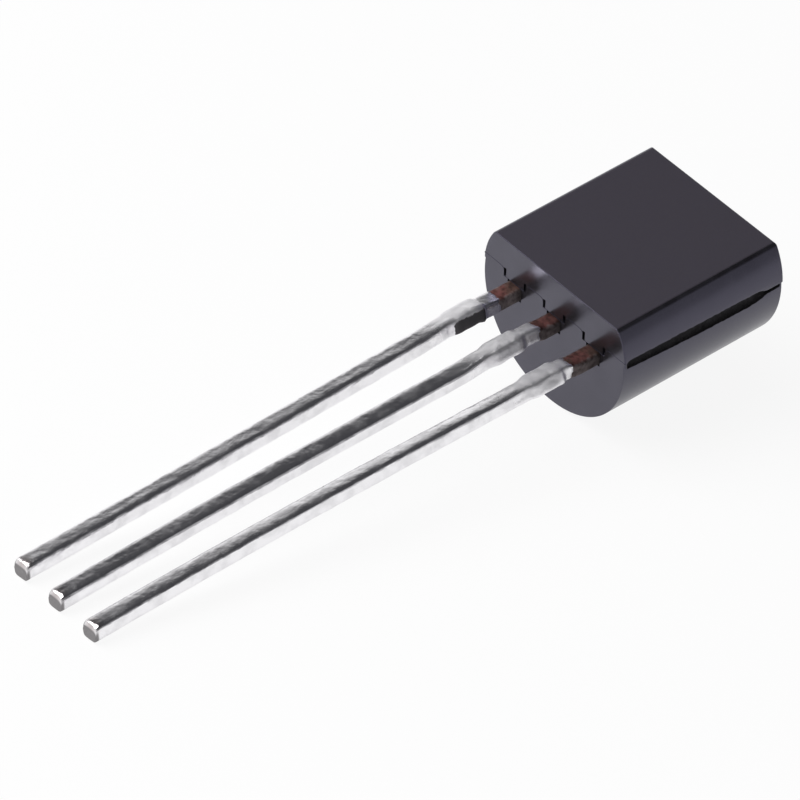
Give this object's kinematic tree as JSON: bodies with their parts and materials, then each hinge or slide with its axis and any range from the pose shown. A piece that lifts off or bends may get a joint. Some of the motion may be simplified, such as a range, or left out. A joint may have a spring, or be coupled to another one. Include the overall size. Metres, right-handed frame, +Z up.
{
  "type": "to-92 transistor",
  "caption": "Through-hole transistor: black D-shaped moulded epoxy body with a flat front and a round back, and flat tinned leads in a row, lying on its back.",
  "frame": {"origin": "centre of the bounding box at its lowest level, on the surface that the part lies on", "axes": "+Z up, away from the surface; the leads point towards -Y and a little down; X runs across the row of leads, and the flat front faces up"},
  "size_m": [0.0046, 0.018, 0.004],
  "materials": {
    "epoxy": "black moulded epoxy, matte on the flat front and glossy on the round back",
    "tinned_lead": "dipped tin over copper, bare copper at the body",
    "silicon": "polished",
    "die_attach": "silver-filled adhesive",
    "bond_wire": "drawn gold-coloured wire"
  },
  "bodies": {
    "root": {"epoxy_body": "epoxy", "emitter_lead": "tinned_lead", "collector_lead": "tinned_lead", "base_lead": "tinned_lead", "silicon_die": "silicon", "die_attach": "die_attach", "base_bond_wire": "bond_wire", "emitter_bond_wire": "bond_wire"}
  },
  "joints": []
}
